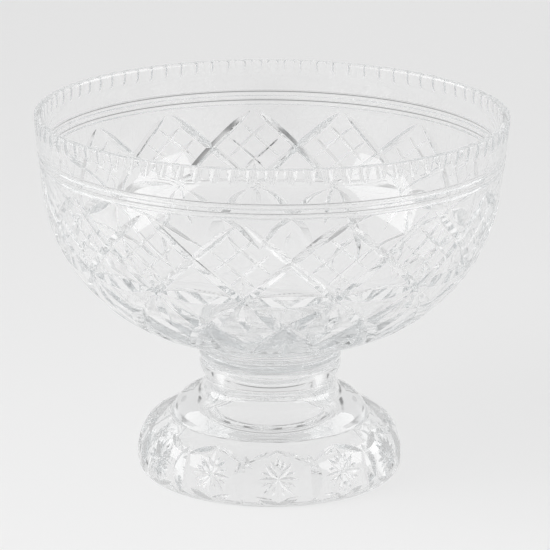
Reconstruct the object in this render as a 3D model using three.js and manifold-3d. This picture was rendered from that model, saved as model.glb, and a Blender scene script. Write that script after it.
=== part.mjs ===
// Cut-crystal punch bowl on a separate stand.
// Two loose pieces of glass: a footed bowl, and a hollow bell-shaped stand that the bowl rests on.
// Millimetres, +Z up. The origin is on the table, on the common axis of both pieces.

import * as THREE from 'three';
import { mergeVertices } from 'three/addons/utils/BufferGeometryUtils.js';
import Module from 'manifold-3d';

const wasm = await Module();
wasm.setup();

// ---- Driving dimensions -------------------------------------------------------------------------

const TURNED_SIDES = 45;         // facets round each turned body
const SEAT_GAP = 0.3;            // air between the bowl's foot and the stand's top ring

const BOWL = {
  rimZ: 240, rimR: 152.5,        // overall height and outer rim radius
  rimWall: 5.2, rimRound: 1.4,   // wall thickness at the rim and its eased inner edge
  rimSpare: 0.5,                 // left on the blank outside, for the notches to be cut from
  footZ: 76, footR: 45.9,        // underside of the foot ring
  spigotR: 28.6, spigotDrop: 5,  // round boss under the foot that centres the bowl in the stand
};

const STAND = {
  topZ: BOWL.footZ - SEAT_GAP, topR: 45.6,
  lipR: 46.4, lipDrop: 2.4,      // the top ring's widest line, just under its top edge
  boreR: 29.2,                   // bore in the top ring that takes the bowl's spigot
  shoulderZ: 38.5, shoulderR: 64.3,
  contactInR: 72.5, contactOutR: 81.8,
};

const FLUTES = { count: 84, depth: 1.5, bottomZ: 229.6 };
const RING_GROOVES = { zs: [216.6, 210.6], halfWidth: 1.9, depth: 1.0 };

const CUTS = {
  count: 15,                     // columns of the pattern round the bowl
  phase: 17,                     // degrees from -Y to the first column
  topZ: 206.5, starZ: 153,       // the diamond mitres run from the top points down to the stars
  mitreDepth: 1.8,
  barsPerMitre: 2,
};

// Upright lens cuts round the stand's skirt, ground into its belly by a straight V edge.
const SKIRT = { count: 12, phase: 19, highZ: 32, lowZ: 1, bellyR: 87, depth: 2.2, barSize: 5 };

// Outside of the bowl from the rim down to the neck, as [radius, height].
const BOWL_OUTER = [
  [150.6, 216.6], [149.5, 206], [146, 180], [136.6, 153], [122.5, 132], [104, 114], [79, 99.6],
  [52, 91.8],
];

// Inside of the bowl from the middle of its floor up to the rim.
const BOWL_INNER = [
  [0, 101], [40, 102.2], [70, 107.6], [96, 119], [115.4, 135.4], [130, 157], [138.6, 179],
  [143.4, 203],
];

// Outside of the stand from its neck down to the table.
const STAND_OUTER = [
  [43.2, 64.6], [42.4, 59.4], [44.6, 54.6], [52.4, 50.8], [59.4, 46.2],
  [STAND.shoulderR, STAND.shoulderZ], [66.2, 36.8], [73, 35], [79.6, 31], [84.6, 23.6], [87.1, 11],
  [85.6, 2.4],
];

// Hollow of the stand from the table up to its bore.
const STAND_INNER = [
  [70.4, 2.4], [67.4, 13], [59, 23], [46, 31.4], [35, 39], [30.2, 48],
];

const GLASS = { color: 0xdfe7ea, roughness: 0.03, metalness: 0 };

// ---- Solids -------------------------------------------------------------------------------------

function toSolid(geometry) {
  const shell = geometry.index ? geometry.toNonIndexed() : geometry.clone();
  for (const name of ['normal', 'uv', 'uv1']) {
    shell.deleteAttribute(name);
  }
  const merged = mergeVertices(shell, 1e-4);
  return new wasm.Manifold(new wasm.Mesh({
    numProp: 3,
    vertProperties: new Float32Array(merged.attributes.position.array),
    triVerts: new Uint32Array(merged.index.array),
  }));
}

function toGeometry(solid) {
  const mesh = solid.getMesh();
  const geometry = new THREE.BufferGeometry();
  geometry.setAttribute('position', new THREE.BufferAttribute(mesh.vertProperties, 3));
  geometry.setIndex(new THREE.BufferAttribute(mesh.triVerts, 1));
  geometry.computeVertexNormals();
  return geometry;
}

// A closed profile of [radius, height] points turned round the Z axis.
function turned(profile, sides = TURNED_SIDES) {
  const points = profile.map(([r, z]) => new THREE.Vector2(r, z));
  return toSolid(new THREE.LatheGeometry(points, sides).rotateX(Math.PI / 2));
}

function radiusAt(profile, z) {
  for (let i = 1; i < profile.length; i += 1) {
    const [r0, z0] = profile[i - 1];
    const [r1, z1] = profile[i];
    if (z <= z0 && z >= z1) {
      return r0 + (r1 - r0) * (z0 - z) / (z0 - z1);
    }
  }
  return profile[profile.length - 1][0];
}

// A point at a radius and height, its angle in degrees from -Y towards +X.
function polar(r, angle, z) {
  const t = THREE.MathUtils.degToRad(angle);
  return new THREE.Vector3(r * Math.sin(t), -r * Math.cos(t), z);
}

// A straight four-sided bar between two points with one edge turned towards the axis, which cuts a
// V. Its size is the distance from its centre line to that edge.
function mitreBar(from, to, size) {
  const along = to.clone().sub(from);
  const outward = from.clone().add(to).setZ(0).normalize();
  const side = new THREE.Vector3().crossVectors(along, outward).normalize();
  outward.crossVectors(side, along).normalize();
  const bar = new THREE.CylinderGeometry(size, size, along.length() + size / 2, 4);
  const basis = new THREE.Matrix4().makeBasis(side, along.clone().normalize(), outward);
  bar.applyMatrix4(basis.setPosition(from.clone().add(to).multiplyScalar(0.5)));
  return toSolid(bar);
}

// ---- Bowl ---------------------------------------------------------------------------------------

function bowlBlank() {
  const inR = BOWL.rimR - BOWL.rimWall;
  const neck = [[45, 88], [45.2, 83.4], [46.7, 80]];
  return turned([
    [0, BOWL.footZ - BOWL.spigotDrop],
    [BOWL.spigotR, BOWL.footZ - BOWL.spigotDrop],
    [BOWL.spigotR, BOWL.footZ],
    [BOWL.footR, BOWL.footZ],
    ...neck.toReversed(),
    ...BOWL_OUTER.toReversed(),
    [BOWL.rimR + BOWL.rimSpare, BOWL.rimZ],
    [inR + BOWL.rimRound, BOWL.rimZ],
    [inR, BOWL.rimZ - BOWL.rimRound],
    ...BOWL_INNER.toReversed(),
  ]);
}

// A ring with a scalloped inside: cutting it off the rim leaves the upright notches.
function rimFluteRing() {
  const outline = new THREE.Shape();
  outline.absarc(0, 0, BOWL.rimR + 4, 0, 2 * Math.PI);
  const scallops = new THREE.Path();
  const halfStep = Math.PI / FLUTES.count;
  for (let i = 0; i < 2 * FLUTES.count; i += 1) {
    const crest = i % 2 === 0;
    const r = crest ? BOWL.rimR : BOWL.rimR - FLUTES.depth;
    const x = r * Math.cos(i * halfStep);
    const y = r * Math.sin(i * halfStep);
    if (i === 0) {
      scallops.moveTo(x, y);
    } else {
      scallops.lineTo(x, y);
    }
  }
  scallops.closePath();
  outline.holes.push(scallops);
  const depth = BOWL.rimZ + 1 - FLUTES.bottomZ;
  const ring = new THREE.ExtrudeGeometry(outline, { depth, bevelEnabled: false, curveSegments: 24 });
  return toSolid(ring.translate(0, 0, FLUTES.bottomZ));
}

// A turned V groove at height z.
function grooveRing(z) {
  const r = radiusAt(BOWL_OUTER, z);
  const { halfWidth, depth } = RING_GROOVES;
  return turned([[r - depth, z], [r + depth, z - 2 * halfWidth], [r + depth, z + 2 * halfWidth],
    [r - depth, z]]);
}

// One mitre that slopes from a top point down to the star one column over, in short straight bars
// that follow the curve of the wall.
function diamondMitre(column, direction) {
  const start = CUTS.phase + column * 360 / CUTS.count;
  const sweep = direction * 360 / CUTS.count;
  const steps = CUTS.barsPerMitre;
  const bars = [];
  for (let i = 0; i < steps; i += 1) {
    const [from, to] = [i / steps, (i + 1) / steps].map((part) => {
      const z = THREE.MathUtils.lerp(CUTS.topZ, CUTS.starZ, part);
      return polar(radiusAt(BOWL_OUTER, z), start + sweep * part, z);
    });
    bars.push(mitreBar(from, to, CUTS.mitreDepth));
  }
  return bars;
}

function bowlCutters() {
  const cutters = [rimFluteRing(), ...RING_GROOVES.zs.map(grooveRing)];
  for (let column = 0; column < CUTS.count; column += 1) {
    for (const direction of [-1, 1]) {
      cutters.push(...diamondMitre(column, direction));
    }
  }
  return cutters;
}

// ---- Stand --------------------------------------------------------------------------------------

function standBlank() {
  return turned([
    [STAND.contactInR, 0],
    [STAND.contactOutR, 0],
    ...STAND_OUTER.toReversed(),
    [STAND.lipR, STAND.topZ - STAND.lipDrop],
    [STAND.topR, STAND.topZ],
    [STAND.boreR, STAND.topZ],
    ...STAND_INNER.toReversed(),
    [STAND.contactInR, 0],
  ]);
}

// An upright lens cut: the bar is straight, so the round belly gives the cut its pointed ends.
function skirtLens(index) {
  const angle = SKIRT.phase + index * 360 / SKIRT.count;
  const r = SKIRT.bellyR + SKIRT.barSize - SKIRT.depth;
  return mitreBar(polar(r, angle, SKIRT.highZ), polar(r, angle, SKIRT.lowZ), SKIRT.barSize);
}

function skirtCutters() {
  return Array.from({ length: SKIRT.count }, (_, index) => skirtLens(index));
}

// ---- Assembly -----------------------------------------------------------------------------------

function cutFrom(blank, cutters) {
  return cutters.reduce((solid, cutter) => solid.subtract(cutter), blank);
}

function glassPiece(name, solid) {
  const mesh = new THREE.Mesh(toGeometry(solid), new THREE.MeshStandardMaterial(GLASS));
  mesh.name = name;
  return mesh;
}

const punchBowl = new THREE.Group();
punchBowl.add(glassPiece('bowl', cutFrom(bowlBlank(), bowlCutters())));
punchBowl.add(glassPiece('stand', cutFrom(standBlank(), skirtCutters())));

export default punchBowl;
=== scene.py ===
"""Cut-crystal punch bowl on its stand: the visible glass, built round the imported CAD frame.

The glass is sized in millimetres, and the studio round it in metres. Angles round the axis are degrees,
measured from -Y towards +X.
"""

import math

import bmesh
import bpy
import numpy as np
from mathutils import Matrix, Vector, kdtree


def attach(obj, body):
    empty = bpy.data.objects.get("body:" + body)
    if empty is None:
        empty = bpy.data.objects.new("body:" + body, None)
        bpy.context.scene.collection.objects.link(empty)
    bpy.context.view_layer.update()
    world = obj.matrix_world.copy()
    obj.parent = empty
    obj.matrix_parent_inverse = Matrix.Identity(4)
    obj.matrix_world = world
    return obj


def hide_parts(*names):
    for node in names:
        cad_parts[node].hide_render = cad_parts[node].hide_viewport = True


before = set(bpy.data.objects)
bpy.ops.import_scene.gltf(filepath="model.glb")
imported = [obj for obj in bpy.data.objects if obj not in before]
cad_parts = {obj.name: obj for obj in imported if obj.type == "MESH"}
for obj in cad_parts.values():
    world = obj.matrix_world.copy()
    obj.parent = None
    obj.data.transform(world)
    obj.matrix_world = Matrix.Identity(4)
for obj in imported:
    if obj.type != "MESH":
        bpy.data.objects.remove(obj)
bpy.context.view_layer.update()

MM = 0.001

# ---- Sizes ---------------------------------------------------------------------------------------

# Each outline is a list of smooth runs of (radius, height) points. Two runs meet in a sharp corner.
RIM_R, RIM_Z = 152.5, 240.0
BOWL_WALL = [(151.9, 229.6), (150.9, 218), (149.5, 206), (148, 193), (146, 180), (142.4, 166.5),
             (136.6, 153), (130.4, 142.2), (122.5, 132), (113.8, 122.6), (104, 114), (92.4, 106.2),
             (79, 99.6), (64.5, 94.6), (52, 91.8)]
BOWL_NECK = [(52, 91.8), (47.4, 90.4), (45.2, 87.6), (45, 84.6), (45.5, 82.9)]
BOWL_BEAD = [(45.5, 82.9), (46.3, 82), (46.7, 80.2), (46.7, 78.4), (46.4, 77), (45.4, 76.15),
             (44.4, 76)]
BOWL_UNDER = [[(44.4, 76), (28.6, 76)], [(28.6, 76), (28.6, 71.8)],
              [(28.6, 71.8), (28.2, 71.2), (27.4, 71)], [(27.4, 71), (0, 71)]]
BOWL_INSIDE = [(0, 101), (20, 101.2), (38, 101.9), (54, 103.9), (70, 107.6), (84, 112.7), (96, 119),
               (106.4, 126.8), (115.4, 135.4), (123.4, 145.8), (130, 157), (135, 168.2),
               (138.6, 179), (141.4, 191), (143.4, 203), (145.6, 219), (147, 232), (147.3, 238.4)]
BOWL_LIP = [[(147.3, 238.4), (147.6, 239.4), (148.6, 240)], [(148.6, 240), (151.7, 240)],
            [(151.7, 240), (152.3, 239.7), (152.5, 239)], [(152.5, 239), (151.9, 229.6)]]

STAND_TOP = [[(29.3, 55), (29.3, 75)], [(29.3, 75), (29.5, 75.5), (30, 75.7)],
             [(30, 75.7), (44.2, 75.7)]]
STAND_RING = [(44.2, 75.7), (45.4, 75.4), (46.2, 74.2), (46.4, 72.6), (46, 70), (44.9, 67),
              (43.7, 64.9)]
STAND_NECK = [(43.7, 64.9), (42.8, 63.2), (42.3, 60.6), (42.7, 57.6), (44.6, 54.6), (48, 52.3),
              (52.4, 50.7), (56.4, 48.6), (59.8, 45.8), (62.4, 42.4), (64, 38.9)]
STAND_LEDGE = [(64, 38.9), (64.6, 37.6), (66.4, 36.8), (69.6, 36), (73, 34.9), (76.6, 33.2),
               (79.6, 30.8), (82.4, 27.4), (84.5, 23.4), (86, 18.6), (86.9, 12.8), (87.05, 7.6),
               (86.4, 3.8), (84.6, 1), (82, 0)]
STAND_CONTACT = [(82, 0), (72.5, 0)]
STAND_HOLLOW = [(72.5, 0), (71.2, 1), (69.8, 5), (67.4, 12.6), (63.8, 18.6), (59, 23.2),
                (52.6, 27.6), (46, 31.4), (40, 35), (35, 39.4), (31.6, 44.4), (30, 49.6),
                (29.3, 55)]

# The cutting round the bowl: columns of diamonds, with a star under each.
COLUMNS, FIRST_COLUMN = 15, -7.0
PITCH = 360 / COLUMNS
TOP_Z, STAR_Z = 206.5, 153.0          # the diamonds' top points and the stars' middles
LENS_END_Z = 105.0                    # where the long lenses run out, near the foot
RING_GROOVE_ZS = (216.6, 210.6)
FLUTES, FLUTE_LOW_Z = 84, 229.4
BASE_RAYS, BASE_Z = 16, 71

# The cutting round the stand: upright lenses, with a starred motif between each two. The arch over a motif
# and the flat V under it are given by the ends of their right side, as (turn from the middle, height).
MOTIFS, FIRST_MOTIF = 12, 4.0
MOTIF_PITCH = 360 / MOTIFS
PILLAR_ZS = (32.6, 3)
ARCH_SIDE = ((-1.5, 35.0), (14, 28.5))
TOE_SIDE = ((-1.5, 2.6), (10, 8.6))
RAY_Z, LONG_RAY, SHORT_RAY = 19.5, 14, (4, 12)    # the star's middle, and how far its rays reach
SKIRT_R = 86.0

# Half the width and the depth of each kind of cut, where it is deepest.
CUTS = {
    "flute": (4.5, 2.1),
    "ring": (2.2, 1.2),
    "diamond": (2.6, 2.5),
    "hatch": (1.15, 0.92),
    "olive": (6.4, 3.7),
    "long_lens": (6, 3.7),
    "under_star": (3.8, 2.4),
    "over_star": (1.7, 1.3),
    "foot_lens": (3.4, 1.7),
    "wide_base_ray": (2.2, 1.5),
    "fine_base_ray": (1.4, 1.5),
    "pillar": (7.2, 3.0),
    "arch": (2.9, 2.0),
    "toe": (2.2, 1.7),
    "long_ray": (2.8, 2.2),
    "short_ray": (1.5, 1.25),
}


# ---- Outlines and turned bodies ------------------------------------------------------------------

def smooth_run(points, step):
    """Points along a centripetal Catmull-Rom curve through a run, about a step apart."""
    p = np.array(points, float)
    if len(p) < 3:
        return p
    ends = np.vstack([2 * p[0] - p[1], p, 2 * p[-1] - p[-2]])
    out = []
    for a, b, c, d in zip(ends, ends[1:], ends[2:], ends[3:]):
        t = np.cumsum([0, *(np.linalg.norm(q - r) ** 0.5 for q, r in ((b, a), (c, b), (d, c)))])
        count = max(1, round(np.linalg.norm(c - b) / step))
        for s in np.linspace(t[1], t[2], count, endpoint=False):
            ab = ((t[1] - s) * a + (s - t[0]) * b) / (t[1] - t[0])
            bc = ((t[2] - s) * b + (s - t[1]) * c) / (t[2] - t[1])
            cd = ((t[3] - s) * c + (s - t[2]) * d) / (t[3] - t[2])
            abc = ((t[2] - s) * ab + (s - t[0]) * bc) / (t[2] - t[0])
            bcd = ((t[3] - s) * bc + (s - t[1]) * cd) / (t[3] - t[1])
            out.append(((t[2] - s) * abc + (s - t[1]) * bcd) / (t[2] - t[1]))
    return np.vstack([out, p[-1]])


class Outline:
    """One smooth run, for looking up radius and slope by height or by distance along it."""

    def __init__(self, points, step=0.5):
        self.p = smooth_run(points, step)
        self.s = np.concatenate([[0], np.cumsum(np.linalg.norm(np.diff(self.p, axis=0), axis=1))])

    def along(self, s):
        """Radius and height at a distance along the run."""
        return np.interp(s, self.s, self.p[:, 0]), np.interp(s, self.s, self.p[:, 1])

    def at_height(self, z):
        """Distance along the run, which goes downwards, to a height."""
        return np.interp(-np.asarray(z, float), -self.p[:, 1], self.s)

    def normal(self, s):
        """The outward direction, as (radius, height), at a distance along the run."""
        r0, z0 = self.along(s - 0.3)
        r1, z1 = self.along(s + 0.3)
        n = np.stack([z0 - z1, r1 - r0], -1)
        return n / np.linalg.norm(n, axis=-1, keepdims=True)


def ring_place(angle, r, z):
    """The point, or points, at an angle, radius and height."""
    t = np.radians(angle)
    return np.stack([r * np.sin(t), -r * np.cos(t), z + 0 * t], -1)


def turned_rows(runs, step):
    """One line of points through all the runs, without doubled points where they meet."""
    rows = [smooth_run(runs[0], step)]
    rows += [smooth_run(run, step)[1:] for run in runs[1:]]
    return np.vstack(rows)


def turned(name, runs, sides, step):
    """A solid turned about the axis from an outline of runs, which closes on itself or ends on the axis."""
    rows = turned_rows(runs, step)
    closed = np.allclose(rows[0], rows[-1])
    rows = rows[:-1] if closed else rows[1:-1]
    count = len(rows)
    rings = [ring_place(a, rows[:, 0], rows[:, 1]) for a in np.arange(sides) * 360 / sides]
    verts = np.concatenate(rings)
    faces = []
    for i in range(sides):
        here, there = i * count, (i + 1) % sides * count
        faces += [(here + k, here + k + 1, there + k + 1, there + k) for k in range(count - 1)]
        if closed:
            faces.append((here + count - 1, here, there, there + count - 1))
        else:
            faces.append((here, there, len(verts)))
            faces.append((there + count - 1, here + count - 1, len(verts) + 1))
    if not closed:
        verts = np.vstack([verts, [0, 0, runs[0][0][1]], [0, 0, runs[-1][-1][1]]])
    return new_object(name, verts, faces)


def new_object(name, verts, faces):
    """A closed mesh object, faces outward, from points in millimetres."""
    mesh = bpy.data.meshes.new(name)
    mesh.from_pydata([tuple(v) for v in np.asarray(verts) * MM], [], faces)
    mesh.update()
    solid = bmesh.new()
    solid.from_mesh(mesh)
    bmesh.ops.recalc_face_normals(solid, faces=solid.faces)
    solid.to_mesh(mesh)
    solid.free()
    obj = bpy.data.objects.new(name, mesh)
    bpy.context.scene.collection.objects.link(obj)
    return obj


# ---- Cutting wheels ------------------------------------------------------------------------------

CLEAR = 0.15          # how far above the glass a cut's ends stay
LIFT = 1.6            # how far a cutter stands proud of the glass
ARC_STEPS = 8


def lens(t):
    """Depth along a cut made by a straight pass over a round wall: pointed at both ends."""
    return 1 - (2 * t - 1) ** 2


def mitre(t, start, end):
    """Depth along a long cut that keeps its depth, and runs out over a share of its length at each end."""
    rise = np.clip(t / start, 0, 1)
    fall = np.clip((1 - t) / end, 0, 1)
    return rise * (2 - rise) * fall * (2 - fall)


def v_section(width, full_depth, depth):
    """A V wheel's outline, as (across, up) from the glass, where it cuts to a depth."""
    top = width / full_depth * (LIFT + depth)
    return [(0, -depth), (top, LIFT), (-top, LIFT)]


def round_section(width, full_depth, depth):
    """A round wheel's outline, as (across, up) from the glass, where it cuts to a depth."""
    wheel = (width ** 2 + full_depth ** 2) / (2 * full_depth)
    top = math.asin(math.sqrt(wheel ** 2 - (wheel - depth - LIFT) ** 2) / wheel)
    turns = [top * (2 * i / ARC_STEPS - 1) for i in range(ARC_STEPS + 1)]
    return [(wheel * math.sin(a), wheel - depth - wheel * math.cos(a)) for a in turns]


def sweep(path, normals, width, depth, shape=lens, section=v_section):
    """Verts and faces of a cutter that follows a path on the glass. width is half the cut's full width."""
    along = np.gradient(path, axis=0)
    along /= np.linalg.norm(along, axis=1, keepdims=True)
    side = np.cross(along, normals)
    side /= np.linalg.norm(side, axis=1, keepdims=True)
    out = np.cross(side, along)
    stations = np.linspace(0, 1, len(path))
    depths = (depth + CLEAR) * shape(stations) - CLEAR
    rings = [[p + x * b + y * n for x, y in section(width, depth, d)]
             for p, b, n, d in zip(path, side, out, depths)]
    size = len(rings[0])
    verts = [v for ring in rings for v in ring]
    faces = [tuple(range(size)), tuple(reversed(range(len(verts) - size, len(verts))))]
    for i in range(len(rings) - 1):
        low = i * size
        faces += [(low + k, low + size + k, low + size + (k + 1) % size, low + (k + 1) % size)
                  for k in range(size)]
    return verts, faces


def on_wall(outline, angles, distances):
    """A path on a turned wall and the wall's normals along it."""
    r, z = outline.along(distances)
    n = outline.normal(distances)
    t = np.radians(angles)
    normals = np.stack([n[:, 0] * np.sin(t), -n[:, 0] * np.cos(t), n[:, 1]], -1)
    return ring_place(angles, r, z), normals


def straight(outline, start, end, step=2.6):
    """A path between two (angle, height) points on a wall."""
    s0, s1 = outline.at_height(start[1]), outline.at_height(end[1])
    wide = math.radians(end[0] - start[0]) * outline.along((s0 + s1) / 2)[0]
    count = max(6, round(math.hypot(wide, s1 - s0) / step))
    t = np.linspace(0, 1, count)
    heights = start[1] + (end[1] - start[1]) * t
    return on_wall(outline, start[0] + (end[0] - start[0]) * t, outline.at_height(heights))


def cutter_object(name, sweeps):
    """One object that holds a group of sweeps."""
    verts, faces = [], []
    for v, f in sweeps:
        base = len(verts)
        verts += v
        faces += [tuple(base + i for i in face) for face in f]
    return new_object(name, np.array(verts), faces)


def mark_faces(obj, name):
    """Gives a solid one named material, so that its faces can be told apart after they cut or are cut."""
    obj.data.materials.append(bpy.data.materials.get(name) or bpy.data.materials.new(name))


def grind(obj, cutters):
    """Cuts each group of cutters out of the glass in turn. Cutters of one group don't meet in the glass."""
    mark_faces(obj, "turned")
    for cutter in cutters:
        mark_faces(cutter, cutter.name)
        cut = obj.modifiers.new("cut", "BOOLEAN")
        cut.operation = "DIFFERENCE"
        cut.object = cutter
        cut.solver = "MANIFOLD"
        cut.material_mode = "TRANSFER"
        done = bpy.data.meshes.new_from_object(obj.evaluated_get(bpy.context.evaluated_depsgraph_get()))
        obj.modifiers.clear()
        obj.data = done
        bpy.data.objects.remove(cutter)


# ---- Shading normals -----------------------------------------------------------------------------

def profile_samples(runs):
    """Points and normals every 0.2 mm along each run, with the number of the run they belong to."""
    points, normals, owner = [], [], []
    for number, run in enumerate(runs):
        line = Outline(run, 0.2)
        s = np.arange(0, line.s[-1] + 0.2, 0.2)
        points.append(np.stack(line.along(s), -1))
        normals.append(line.normal(s))
        owner += [number] * len(s)
    return np.vstack(points), np.vstack(normals), np.array(owner)


def tree_of(points):
    """A search tree of (radius, height) points."""
    tree = kdtree.KDTree(len(points))
    for i, (r, z) in enumerate(points):
        tree.insert((r, z, 0), i)
    tree.balance()
    return tree


def polish(obj, runs):
    """Smooth normals along the turned walls, taken from the outline, and crisp edges round every cut."""
    mesh = obj.data
    turned_slot = [m.name for m in mesh.materials].index("turned")
    mark_sharp_edges(mesh)
    mesh.shade_smooth()
    normals = np.empty(len(mesh.loops) * 3)
    mesh.corner_normals.foreach_get("vector", normals)
    normals = normals.reshape(-1, 3)

    points, slopes, owner = profile_samples(runs)
    whole = tree_of(points)
    by_run = [tree_of(points[owner == i]) for i in range(len(runs))]
    run_slopes = [slopes[owner == i] for i in range(len(runs))]
    known = {}
    for face in mesh.polygons:
        if face.material_index != turned_slot:
            continue
        middle = face.center / MM
        run = owner[whole.find((math.hypot(middle.x, middle.y), middle.z, 0))[1]]
        for loop, vert in zip(face.loop_indices, face.vertices):
            if (run, vert) not in known:
                p = mesh.vertices[vert].co / MM
                r = max(math.hypot(p.x, p.y), 1e-6)
                slope = run_slopes[run][by_run[run].find((r, p.z, 0))[1]]
                known[run, vert] = Vector((slope[0] * p.x / r, slope[0] * p.y / r, slope[1])).normalized()
            n = known[run, vert]
            normals[loop] = n if n.dot(face.normal) > 0 else -n
    mesh.normals_split_custom_set(normals.tolist())


def mark_sharp_edges(mesh, limit=24):
    """An edge is sharp where two different cuts meet, or where one turns by more than the limit."""
    solid = bmesh.new()
    solid.from_mesh(mesh)
    for edge in solid.edges:
        same = len({face.material_index for face in edge.link_faces}) == 1
        edge.smooth = same and edge.calc_face_angle(math.pi) < math.radians(limit)
    solid.to_mesh(mesh)
    solid.free()


# ---- The bowl ------------------------------------------------------------------------------------

BOWL_RUNS = [BOWL_INSIDE, *BOWL_LIP, BOWL_WALL, BOWL_NECK, BOWL_BEAD, *BOWL_UNDER]
BOWL_SIDES, BOWL_STEP = 240, 3


def columns(make, first=FIRST_COLUMN, pitch=PITCH, count=COLUMNS):
    """The sweeps that make(angle) gives for every column."""
    return [one for k in range(count) for one in make(first + k * pitch)]


def diamond_side(wall, turn):
    """The wide mitres that cross as big diamonds. They start just off a top point and run on past a star."""
    past = 1.07

    def make(angle):
        end = (angle + turn * PITCH * past, TOP_Z + (STAR_Z - TOP_Z) * past)
        path = straight(wall, (angle + turn * 0.6, TOP_Z - 1), end)
        return [sweep(*path, *CUTS["diamond"], lambda t: mitre(t, 0.22, 0.1))]
    return make


def diamond_hatch(wall, turn):
    """Two fine mitres across each diamond, beside the sides that slope the same way."""
    half = PITCH / 2
    drop = (TOP_Z - STAR_Z) / 2

    def place(angle, u, v):
        """The point that is u of the way along one side of the diamond and v along the other."""
        return angle + turn * half * (u - v), TOP_Z - drop * (u + v)

    def make(angle):
        paths = [straight(wall, place(angle, 0.07, v), place(angle, 0.93, v)) for v in (1 / 3, 2 / 3)]
        return [sweep(*path, *CUTS["hatch"], lambda t: mitre(t, 0.2, 0.2)) for path in paths]
    return make


def star_olive(wall):
    """The broad lens that joins two stars side by side, a little above their middles."""
    gap, z = 0.9, STAR_Z + 1.5

    def make(angle):
        path = straight(wall, (angle + gap, z), (angle + PITCH - gap, z))
        return [sweep(*path, *CUTS["olive"])]
    return make


def long_lens(wall, turn):
    """The long lens from a star down to the foot of the next column."""
    def make(angle):
        path = straight(wall, (angle + turn * 1.4, STAR_Z - 3), (angle + turn * PITCH, LENS_END_Z))
        return [sweep(*path, *CUTS["long_lens"])]
    return make


def uprights(wall):
    """Upright lenses: under and over each star, and between the long lenses near the foot."""
    def upright(angle, start_z, end_z, kind):
        return sweep(*straight(wall, (angle, start_z), (angle, end_z)), *CUTS[kind])

    def make(angle):
        return [upright(angle, STAR_Z - 2, STAR_Z - 26.5, "under_star"),
                upright(angle, STAR_Z + 3, STAR_Z + 16, "over_star"),
                upright(angle + PITCH / 2, LENS_END_Z + 15, LENS_END_Z - 4, "foot_lens")]
    return make


def rim_flute(angle):
    """One upright notch of the rim, ground by a round wheel that runs out on the wall below."""
    low_r, low_z = BOWL_WALL[0]
    z = np.linspace(FLUTE_LOW_Z, RIM_Z + 2, 8)
    path = ring_place(angle, np.interp(z, [low_z, RIM_Z], [low_r, RIM_R]), z)
    outward = np.tile(ring_place(angle, 1.0, 0.0), (len(z), 1))
    return sweep(path, outward, *CUTS["flute"], lambda t: t ** 0.6, round_section)


def ring_groove(name, wall, z):
    """A round groove turned all the way round."""
    half, depth = CUTS["ring"]
    r, _ = wall.along(wall.at_height(z))
    section = round_section(half, depth, depth)
    loop = [(float(r) + y, z + x) for x, y in section]
    sides = [[a, b] for a, b in zip(loop, loop[1:] + loop[:1])]
    return turned(name, sides, BOWL_SIDES, 9)


def base_rays():
    """The star ground under the foot: rays from its middle to its edge."""
    rays = []
    r = np.linspace(2.2, 26.6, 10)
    down = np.tile([0.0, 0.0, -1.0], (len(r), 1))
    for k in range(BASE_RAYS):
        turn = 2 * k * math.pi / BASE_RAYS
        path = np.stack([r * math.sin(turn), r * math.cos(turn), BASE_Z + 0 * r], -1)
        rays.append(sweep(path, down, *CUTS["wide_base_ray" if k % 2 == 0 else "fine_base_ray"]))
    return rays


def build_bowl():
    bowl = turned("bowl_crystal", BOWL_RUNS, BOWL_SIDES, BOWL_STEP)
    wall = Outline(BOWL_WALL)
    grind(bowl, [
        ring_groove("groove_high", wall, RING_GROOVE_ZS[0]),
        ring_groove("groove_low", wall, RING_GROOVE_ZS[1]),
        cutter_object("flutes", [rim_flute(k * 360 / FLUTES) for k in range(FLUTES)]),
        cutter_object("base_rays", base_rays()),
        cutter_object("mitres_right", columns(diamond_side(wall, 1))),
        cutter_object("mitres_left", columns(diamond_side(wall, -1))),
        cutter_object("hatch_right", columns(diamond_hatch(wall, 1))),
        cutter_object("hatch_left", columns(diamond_hatch(wall, -1))),
        cutter_object("olives", columns(star_olive(wall))),
        cutter_object("lenses_right", columns(long_lens(wall, 1))),
        cutter_object("lenses_left", columns(long_lens(wall, -1))),
        cutter_object("uprights", columns(uprights(wall))),
    ])
    polish(bowl, BOWL_RUNS)
    return bowl


# ---- The stand -----------------------------------------------------------------------------------

STAND_RUNS = [*STAND_TOP, STAND_RING, STAND_NECK, STAND_LEDGE, STAND_CONTACT, STAND_HOLLOW]
STAND_SIDES, STAND_STEP = 200, 2.2


def motif_cut(skirt, angle, start, end, kind, step=2.0):
    """A lens cut between two (turn, height) points of the motif at an angle."""
    s0, s1 = skirt.at_height(start[1]), skirt.at_height(end[1])
    count = max(8, round(math.hypot(math.radians(end[0] - start[0]) * SKIRT_R, s1 - s0) / step))
    t = np.linspace(0, 1, count)
    path = on_wall(skirt, angle + start[0] + (end[0] - start[0]) * t, s0 + (s1 - s0) * t)
    return sweep(*path, *CUTS[kind])


def pillar_lens(skirt):
    """The broad upright lens between two motifs, whose curved sides make each motif egg-shaped."""
    high, low = PILLAR_ZS

    def make(angle):
        return [motif_cut(skirt, angle + MOTIF_PITCH / 2, (0, high), (0, low), "pillar")]
    return make


def motif_side(skirt, side, kind, mirror):
    """The right side of the arch or the V of each motif, or with mirror at -1 the left one."""
    (start, start_z), (end, end_z) = side

    def make(angle):
        return [motif_cut(skirt, angle, (start * mirror, start_z), (end * mirror, end_z), kind)]
    return make


def star_point(reach, turn):
    """A (turn, height) point of a motif, at a distance and an angle from upright in its star."""
    turn = math.radians(turn)
    return math.degrees(reach * math.sin(turn) / SKIRT_R), RAY_Z + reach * math.cos(turn)


def long_ray(skirt, turn):
    """One long ray across the star of each motif, at an angle from upright."""
    start, end = star_point(-LONG_RAY, turn), star_point(LONG_RAY, turn)

    def make(angle):
        return [motif_cut(skirt, angle, start, end, "long_ray")]
    return make


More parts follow.
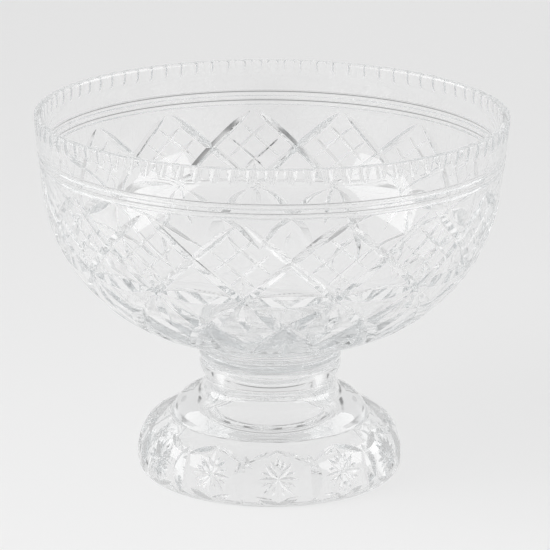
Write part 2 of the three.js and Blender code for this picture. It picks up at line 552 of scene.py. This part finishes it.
def short_rays(skirt):
    """The fine rays between the long ones."""
    near, far = SHORT_RAY
    rays = [(star_point(near, turn), star_point(far, turn)) for turn in np.arange(22.5, 360, 45)]

    def make(angle):
        return [motif_cut(skirt, angle, start, end, "short_ray") for start, end in rays]
    return make


def build_stand():
    stand = turned("stand_crystal", STAND_RUNS, STAND_SIDES, STAND_STEP)
    skirt = Outline(STAND_LEDGE)

    def around(name, make):
        return cutter_object(name, columns(make, FIRST_MOTIF, MOTIF_PITCH, MOTIFS))

    grind(stand, [
        around("pillars", pillar_lens(skirt)),
        around("arches_right", motif_side(skirt, ARCH_SIDE, "arch", 1)),
        around("arches_left", motif_side(skirt, ARCH_SIDE, "arch", -1)),
        around("toes_right", motif_side(skirt, TOE_SIDE, "toe", 1)),
        around("toes_left", motif_side(skirt, TOE_SIDE, "toe", -1)),
        around("rays_upright", long_ray(skirt, 0)),
        around("rays_level", long_ray(skirt, 90)),
        around("rays_right", long_ray(skirt, 45)),
        around("rays_left", long_ray(skirt, -45)),
        around("rays_short", short_rays(skirt)),
    ])
    polish(stand, STAND_RUNS)
    return stand


# ---- Glass ---------------------------------------------------------------------------------------

IOR = 1.545
RIPPLE, RIPPLES_PER_METRE, RIPPLE_DEPTH = 0.06, 14, 0.0006
DEPTH_TINT, DEPTH_DENSITY = (0.55, 0.6, 0.62, 1), 1.5


def crystal(name):
    """Clear polished lead crystal, a little grey where it is thick, with a faint fire-polish ripple."""
    mat = bpy.data.materials.new(name)
    mat.use_nodes = True
    nodes, links = mat.node_tree.nodes, mat.node_tree.links
    glass = nodes["Principled BSDF"]
    glass.inputs["Base Color"].default_value = (1, 1, 1, 1)
    glass.inputs["Transmission Weight"].default_value = 1
    glass.inputs["IOR"].default_value = IOR
    glass.inputs["Roughness"].default_value = 0
    place = nodes.new("ShaderNodeTexCoord")
    noise = nodes.new("ShaderNodeTexNoise")
    noise.inputs["Scale"].default_value = RIPPLES_PER_METRE
    noise.inputs["Detail"].default_value = 1
    bump = nodes.new("ShaderNodeBump")
    bump.inputs["Strength"].default_value = RIPPLE
    bump.inputs["Distance"].default_value = RIPPLE_DEPTH
    links.new(place.outputs["Object"], noise.inputs["Vector"])
    links.new(noise.outputs["Fac"], bump.inputs["Height"])
    links.new(bump.outputs["Normal"], glass.inputs["Normal"])
    depth = nodes.new("ShaderNodeVolumeAbsorption")
    depth.inputs["Color"].default_value = DEPTH_TINT
    depth.inputs["Density"].default_value = DEPTH_DENSITY
    links.new(depth.outputs["Volume"], nodes["Material Output"].inputs["Volume"])
    return mat


def finish_glass(obj, mat, body, node):
    """Gives a cut piece its one glass, and puts it in the place of its CAD node."""
    obj.data.materials.clear()
    obj.data.materials.append(mat)
    obj.data.polygons.foreach_set("material_index", [0] * len(obj.data.polygons))
    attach(obj, body)
    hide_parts(node)
    obj.visible_diffuse = False     # the tent lights the paper under the clear glass as well as beside it


bowl = build_bowl()
stand = build_stand()
finish_glass(bowl, crystal("bowl_glass"), "bowl", "bowl")
finish_glass(stand, crystal("stand_glass"), "stand", "stand")


# ---- Floor, light and camera ---------------------------------------------------------------------

CAMERA_PLACE = (0.0027, -1.9, 0.695)
CAMERA_DOWN, CAMERA_ROLL, CAMERA_LENS = 16.56, 0.48, 199.1
PAPER_SIZE, PAPER_TONE = 16, 0.86
BOUNCES = 64      # a ray crosses many cut faces before it leaves the glass

# How bright the tent is: in front and behind, at the left and right, and overhead at its front and back.
TENT_WALL, TENT_LEFT, TENT_RIGHT = 0.76, 1.0, 0.98
TENT_TOP_FRONT, TENT_TOP_BACK = 0.45, 0.68

# Dark openings in the tent, as seen from its middle, where a direction has length 1: how far across and
# up, half their width and height, their tone, and the side that they are on, 1 for +Y and -1 for -Y.
OPENINGS = [
    (0.03, 0.08, 0.32, 0.12, 0.1, -1),
    (-0.43, 0.21, 0.08, 0.09, 0.25, 1),
    (0.4, 0.25, 0.075, 0.08, 0.25, 1),
    (0, 0.07, 0.3, 0.12, 0.35, 1),
]


def make_floor():
    """A sheet of pale matt paper."""
    bpy.ops.mesh.primitive_plane_add(size=PAPER_SIZE, location=(0, 0, 0))
    floor = bpy.context.object
    floor.name = "floor"
    mat = bpy.data.materials.new("paper_sweep")
    mat.use_nodes = True
    paper = mat.node_tree.nodes["Principled BSDF"]
    paper.inputs["Base Color"].default_value = (PAPER_TONE, PAPER_TONE, PAPER_TONE, 1)
    paper.inputs["Roughness"].default_value = 0.9
    paper.inputs["Specular IOR Level"].default_value = 0.2
    floor.data.materials.append(mat)


def make_world():
    """A white tent: bright at the sides, greyer in front and behind, darker overhead, with dark openings."""
    world = bpy.data.worlds.new("tent")
    bpy.context.scene.world = world
    world.cycles.sampling_method = "NONE"     # so that only the lamps cast shadows
    world.use_nodes = True
    nodes, links = world.node_tree.nodes, world.node_tree.links

    def math_node(operation, a, b=0.0, c=0.0):
        node = nodes.new("ShaderNodeMath")
        node.operation = operation
        for socket, value in zip(node.inputs, (a, b, c)):
            if isinstance(value, bpy.types.NodeSocket):
                links.new(value, socket)
            else:
                socket.default_value = value
        return node.outputs[0]

    def ramp(value, low, high, from_value, to_value):
        node = nodes.new("ShaderNodeMapRange")
        node.interpolation_type = "SMOOTHSTEP"
        links.new(value, node.inputs["Value"])
        for name, number in (("From Min", low), ("From Max", high)):
            node.inputs[name].default_value = number
        for name, number in (("To Min", from_value), ("To Max", to_value)):
            if isinstance(number, bpy.types.NodeSocket):
                links.new(number, node.inputs[name])
            else:
                node.inputs[name].default_value = number
        return node.outputs["Result"]

    place = nodes.new("ShaderNodeTexCoord")
    split = nodes.new("ShaderNodeSeparateXYZ")
    links.new(place.outputs["Generated"], split.inputs["Vector"])
    x, y, z = split.outputs     # of a direction whose length is 1
    sideways = ramp(math_node("ABSOLUTE", x), 0.5, 0.85, 0, 1)
    beside = math_node("MULTIPLY", sideways, ramp(y, -0.45, 0.05, 0, 1))
    sides = ramp(beside, 0, 1, TENT_WALL, ramp(x, -0.2, 0.2, TENT_LEFT, TENT_RIGHT))
    tone = ramp(z, 0.45, 0.85, sides, ramp(y, -0.4, 0.4, TENT_TOP_FRONT, TENT_TOP_BACK))
    for x0, z0, wide, high, dark, side in OPENINGS:
        across = math_node("MULTIPLY_ADD", x, 1 / wide, -x0 / wide)
        up = math_node("MULTIPLY_ADD", z, 1 / high, -z0 / high)
        away = math_node("SQRT", math_node("MULTIPLY_ADD", across, across, math_node("MULTIPLY", up, up)))
        shade = ramp(math_node("MULTIPLY", y, side), 0.2, 0.5, 1, ramp(away, 0.5, 1.25, dark, 1))
        tone = math_node("MULTIPLY", tone, shade)
    nodes["Background"].inputs["Color"].default_value = (1, 1, 1, 1)
    links.new(tone, nodes["Background"].inputs["Strength"])


def soft_box(name, place, aim, size, power, casts_shadow=False, for_glass=False):
    """A large lamp that the camera never sees. It lights the paper, or is only reflected in the glass."""
    light = bpy.data.lights.new(name, "AREA")
    light.shape = "RECTANGLE"
    light.size, light.size_y = size
    light.energy = power
    light.use_shadow = casts_shadow
    obj = bpy.data.objects.new(name, light)
    obj.location = place
    obj.rotation_euler = (Vector(aim) - Vector(place)).to_track_quat("-Z", "Y").to_euler()
    obj.visible_camera = obj.visible_transmission = False
    obj.visible_glossy = for_glass
    obj.visible_diffuse = not for_glass
    bpy.context.scene.collection.objects.link(obj)


def make_camera():
    """A long lens a little above the rim, looking down at the bowl."""
    camera = bpy.data.cameras.new("camera")
    camera.sensor_width = 36
    camera.lens = CAMERA_LENS
    obj = bpy.data.objects.new("camera", camera)
    obj.location = CAMERA_PLACE
    tilt = Matrix.Rotation(math.radians(90 - CAMERA_DOWN), 3, "X")
    obj.rotation_euler = (tilt @ Matrix.Rotation(math.radians(CAMERA_ROLL), 3, "Z")).to_euler()
    bpy.context.scene.collection.objects.link(obj)
    bpy.context.scene.camera = obj


make_floor()
make_world()
soft_box("key", (-1.3, -0.6, 1.2), (0, 0, 0), (1.2, 1.2), 4, casts_shadow=True)
soft_box("fill_front", (0.1, -1, 1.6), (0, -0.2, 0), (1.6, 1.2), 9.3)
soft_box("fill_back", (0.2, 2.2, 2.2), (0.2, 2.2, 0), (2, 2), 11.2)
soft_box("sheen_left", (-1.7, -0.1, 1), (0, 0, 0.15), (2.6, 1.2), 23, for_glass=True)
soft_box("sheen_right", (1.7, -0.1, 1), (0, 0, 0.15), (2.6, 1.2), 23, for_glass=True)
make_camera()

scene = bpy.context.scene
scene.view_settings.view_transform = "Standard"
scene.cycles.max_bounces = BOUNCES
scene.cycles.transmission_bounces = BOUNCES
scene.cycles.glossy_bounces = BOUNCES
